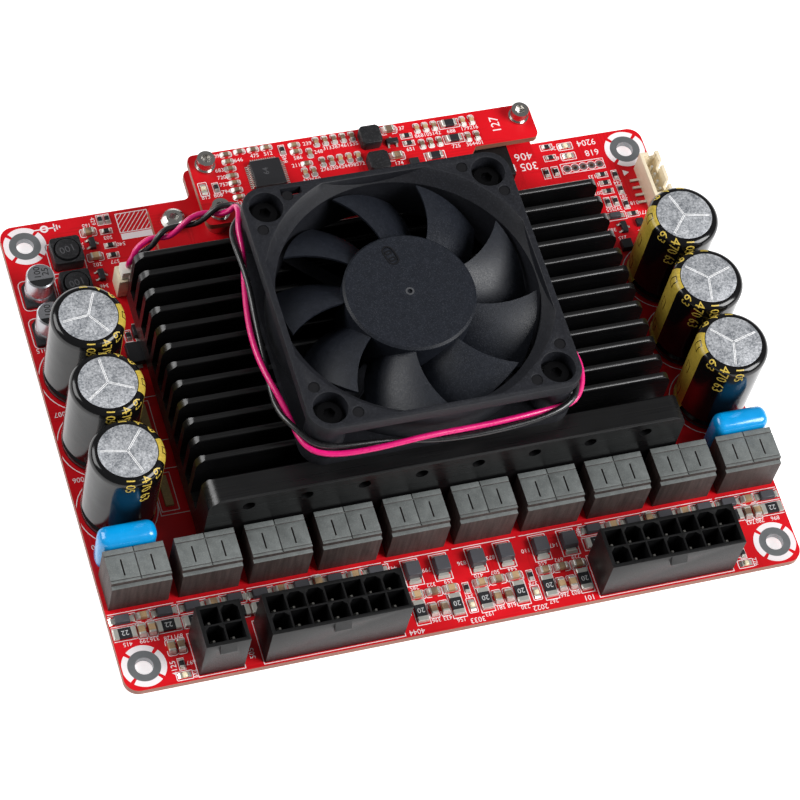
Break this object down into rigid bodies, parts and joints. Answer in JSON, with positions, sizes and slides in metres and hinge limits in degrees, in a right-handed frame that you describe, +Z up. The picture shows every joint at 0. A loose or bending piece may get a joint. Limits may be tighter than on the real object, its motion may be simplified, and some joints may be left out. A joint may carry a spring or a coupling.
{
  "type": "audio amplifier board",
  "caption": "Red audio amplifier circuit board with a fan-cooled black finned heatsink, output inductors, bulk capacitors, plug headers and a stacked processor board.",
  "frame": {"origin": "centre of the four mounting holes, on the underside of the main board", "axes": "+Z up out of the board, +X along its long side to the right as seen from the header edge, +Y from the header edge to the back"},
  "size_m": [0.1524, 0.1167, 0.0402],
  "materials": {
    "board_red": "satin solder resist",
    "heatsink_black": "black anodised",
    "chip_black": "moulded epoxy",
    "screw_nickel": "nickel plated",
    "fan_plastic": "fine textured moulding",
    "impeller_plastic": "fine textured moulding",
    "rotor_steel": "plain steel",
    "bearing_bronze": "sintered",
    "winding_copper": "enamelled wire",
    "screw_black": "black oxide",
    "wire_pink": "extruded insulation",
    "wire_black": "extruded insulation",
    "nylon_white": "moulded nylon",
    "nylon_cream": "moulded nylon",
    "capacitor_sleeve": "shrink sleeve",
    "ferrite_grey": "moulded powder core",
    "film_blue": "dipped epoxy",
    "header_black": "moulded nylon",
    "contact_tin": "tin plated",
    "can_aluminium": "drawn can",
    "ferrite_dark": "sintered ferrite",
    "ceramic_tan": "fired ceramic",
    "led_cream": "clear cast lens",
    "strip_tan": "flat strip"
  },
  "bodies": {
    "board": {"main_board": "board_red", "module_board": "board_red", "upper_board": "board_red", "heatsink": "heatsink_black", "amplifier_chips": "chip_black", "heatsink_spacers": "screw_nickel", "underside_screws": "screw_nickel", "fan_frame": "fan_plastic", "fan_bearing": "bearing_bronze", "fan_stator": "winding_copper", "fan_screws": "screw_black", "fan_wire_pink": "wire_pink", "fan_wire_black": "wire_black", "fan_plug": "nylon_white", "fan_header": "nylon_cream", "bulk_capacitors_left": "capacitor_sleeve", "bulk_capacitors_right": "capacitor_sleeve", "output_inductors": "ferrite_grey", "film_capacitor_left": "film_blue", "film_capacitor_right": "film_blue", "speaker_header_left": "header_black", "speaker_header_right": "header_black", "power_header": "header_black", "header_contacts": "contact_tin", "signal_header": "nylon_cream", "signal_contacts": "contact_tin", "smd_capacitor_cans": "can_aluminium", "smd_capacitor_bases": "chip_black", "power_inductors": "ferrite_dark", "upper_inductors": "ferrite_dark", "processor_chip": "chip_black", "chip_capacitors": "ceramic_tan", "chip_resistors": "chip_black", "diodes": "chip_black", "status_leds": "led_cream", "small_chips": "chip_black", "thermal_strips": "strip_tan", "module_standoffs": "screw_nickel", "upper_spacers": "screw_nickel", "upper_screws": "screw_nickel", "module_screw": "screw_nickel", "board_connectors": "header_black", "solder_joints": "contact_tin"},
    "impeller": {"fan_impeller": "impeller_plastic", "fan_rotor_ring": "rotor_steel", "fan_shaft": "rotor_steel"}
  },
  "joints": [
    {"name": "fan_spin", "type": "hinge", "parent": "board", "child": "impeller", "pos_m": [-0.0015, 0.0049, 0.03], "axis": [0, 0, 1], "continuous": true}
  ]
}
